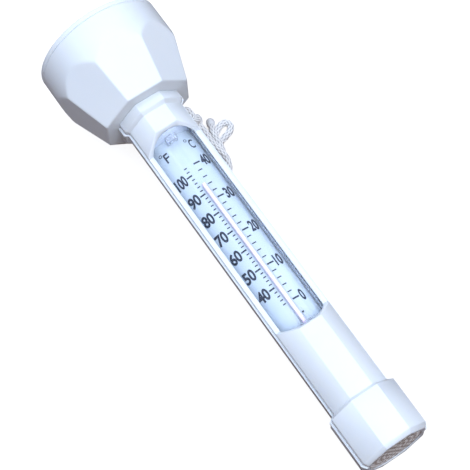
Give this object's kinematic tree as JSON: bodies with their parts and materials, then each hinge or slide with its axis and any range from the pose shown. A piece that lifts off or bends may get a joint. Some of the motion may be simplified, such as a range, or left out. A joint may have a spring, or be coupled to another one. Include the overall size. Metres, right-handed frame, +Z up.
{
  "type": "floating pool thermometer",
  "caption": "Floating pool thermometer: white octagonal case with a round faceted float head, a glazed dial window, a weighted perforated foot and a braided tether.",
  "frame": {"origin": "centre of the footprint of the thermometer lying on its back, on the surface it lies on", "axes": "+Z up, out of the dial window; +Y along the tube towards the float head; +X to the reader's right"},
  "size_m": [0.068, 0.2426, 0.0645],
  "materials": {
    "white_abs": "satin",
    "grille_plastic": "satin",
    "seal_rubber": "matte",
    "ballast_steel": "satin",
    "clear_plastic": "gloss",
    "plug_plastic": "satin",
    "card_plastic": "satin",
    "stem_glass": "gloss",
    "spirit": "gloss",
    "cord_braid": "matte",
    "cord_end": "satin"
  },
  "bodies": {
    "float": {"float_lid": "white_abs", "float_lid_seal": "seal_rubber", "float_bowl": "white_abs", "front_shell": "white_abs", "back_shell": "white_abs", "foot_grille": "grille_plastic", "ballast_ring": "ballast_steel", "clear_tube": "clear_plastic", "upper_tube_plug": "plug_plastic", "upper_plug_seal": "seal_rubber", "lower_tube_plug": "plug_plastic", "lower_plug_seal": "seal_rubber", "scale_card": "card_plastic", "glass_stem": "stem_glass", "glass_stem_tip": "stem_glass", "glass_bulb": "stem_glass", "bulb_spirit": "spirit", "spirit_column": "spirit", "lower_stem_clip": "plug_plastic", "upper_stem_clip": "plug_plastic", "eye_knot": "cord_braid", "cord_run": "cord_braid", "cord_bight": "cord_braid", "cord_tip": "cord_end", "cord_hank": "cord_braid", "hank_tie": "cord_braid"},
    "spirit_level": {"spirit_meniscus": "spirit"}
  },
  "joints": [
    {"name": "reading", "type": "slide", "parent": "float", "child": "spirit_level", "axis": [0, 0.9976, 0.0696], "range_m": [-0.0682, 0.0113], "deforming": ["spirit_column"]}
  ]
}
